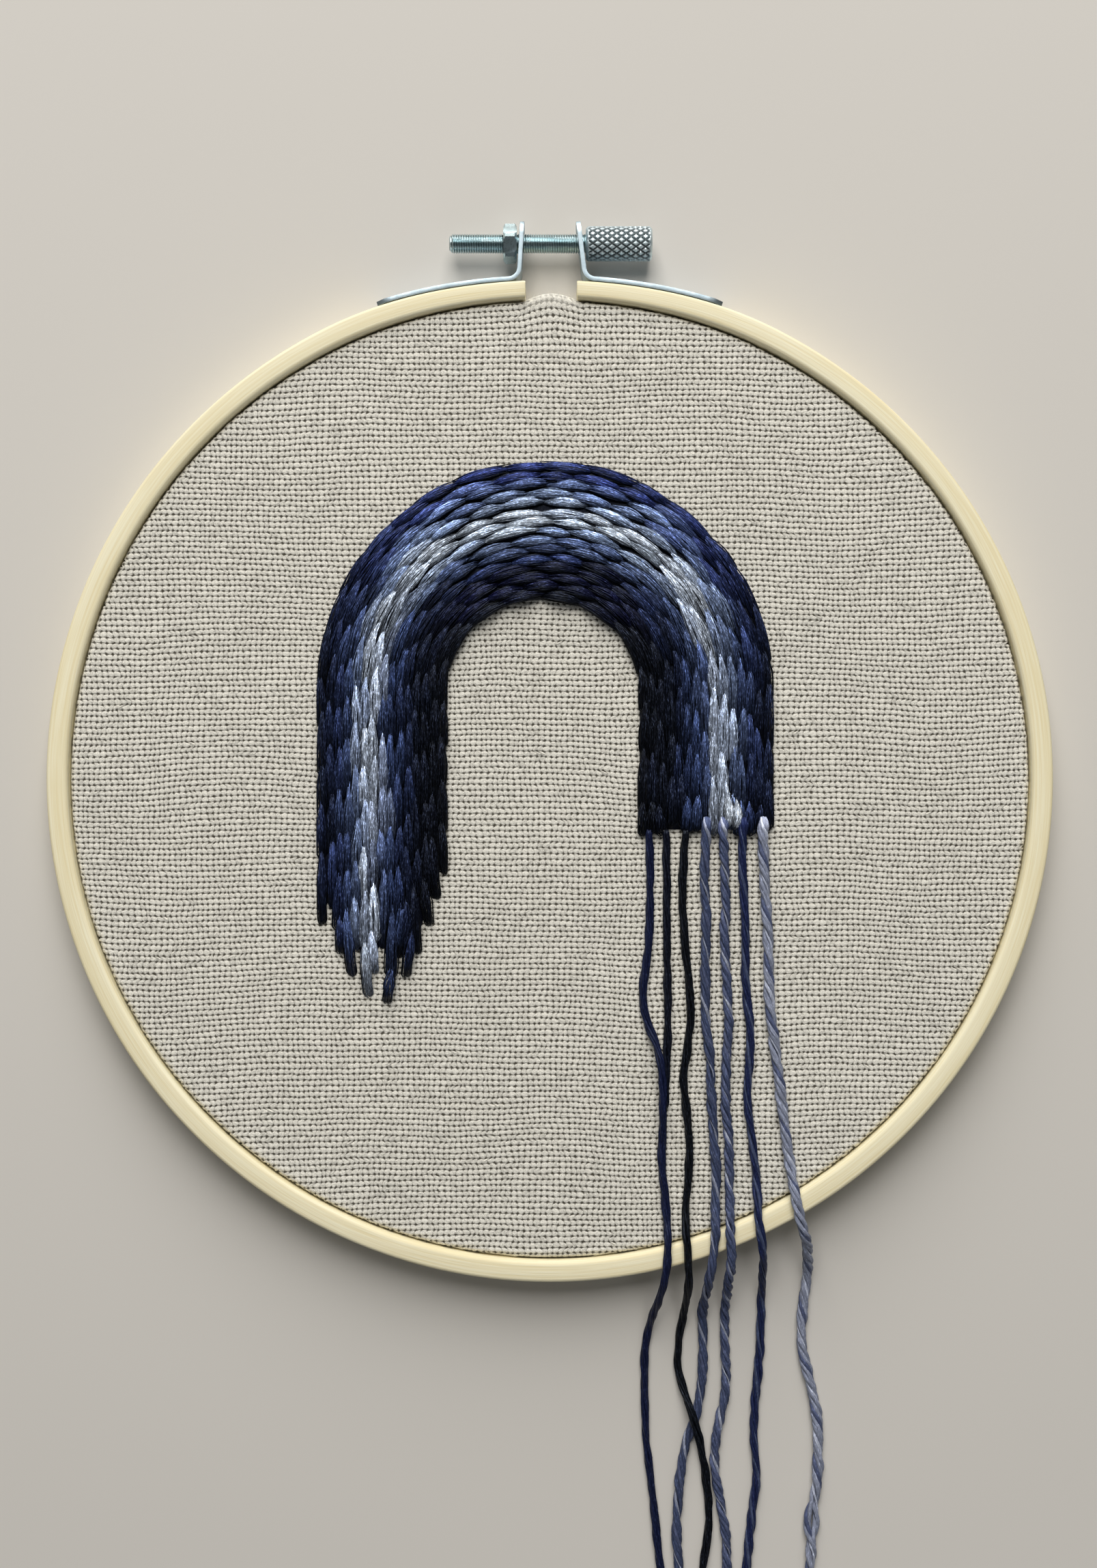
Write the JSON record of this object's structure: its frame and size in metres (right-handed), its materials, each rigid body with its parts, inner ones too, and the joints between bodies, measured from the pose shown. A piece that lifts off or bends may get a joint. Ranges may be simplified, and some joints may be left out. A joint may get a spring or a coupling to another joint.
{
  "type": "embroidered cloth in a wooden embroidery hoop",
  "caption": "Round cloth stretched in a split wooden embroidery hoop with a tension screw, stitched with a plain arch in shaded blues, its loose thread tails lying over the rim.",
  "frame": {"origin": "centre of the hoop with its screw, on the surface that the hoop's back lies on", "axes": "+Z out of the stitched face, +Y towards the tension screw, +X to the right when the screw is at the top"},
  "size_m": [0.204, 0.2944, 0.0125],
  "materials": {
    "hoop_wood": "pale bamboo, smooth satin, faint long grain",
    "cloth": "unbleached even-weave cotton, matt",
    "stitching": "stranded cotton thread, soft sheen, navy to pale blue in bands",
    "plated_steel": "bright zinc plate",
    "thread_navy": "stranded cotton thread, soft sheen",
    "thread_midnight": "stranded cotton thread, soft sheen",
    "thread_black": "stranded cotton thread, soft sheen",
    "thread_slate": "twisted cotton thread, soft sheen",
    "thread_dusk": "twisted cotton thread, soft sheen",
    "thread_indigo": "stranded cotton thread, soft sheen",
    "thread_mist": "twisted cotton thread, soft sheen"
  },
  "bodies": {
    "hoop": {"outer_hoop": "hoop_wood", "inner_hoop": "hoop_wood", "cloth": "cloth", "arch_stitching": "stitching", "bracket_left": "plated_steel", "bracket_right": "plated_steel", "screw_nut": "plated_steel", "tail_navy": "thread_navy", "tail_midnight": "thread_midnight", "tail_black": "thread_black", "tail_slate": "thread_slate", "tail_dusk": "thread_dusk", "tail_indigo": "thread_indigo", "tail_mist": "thread_mist"},
    "screw": {"tension_screw": "plated_steel"}
  },
  "joints": [
    {"name": "screw_turn", "type": "hinge", "parent": "hoop", "child": "screw", "pos_m": [0, 0.1038, 0.005], "axis": [1, 0, 0], "continuous": true}
  ]
}
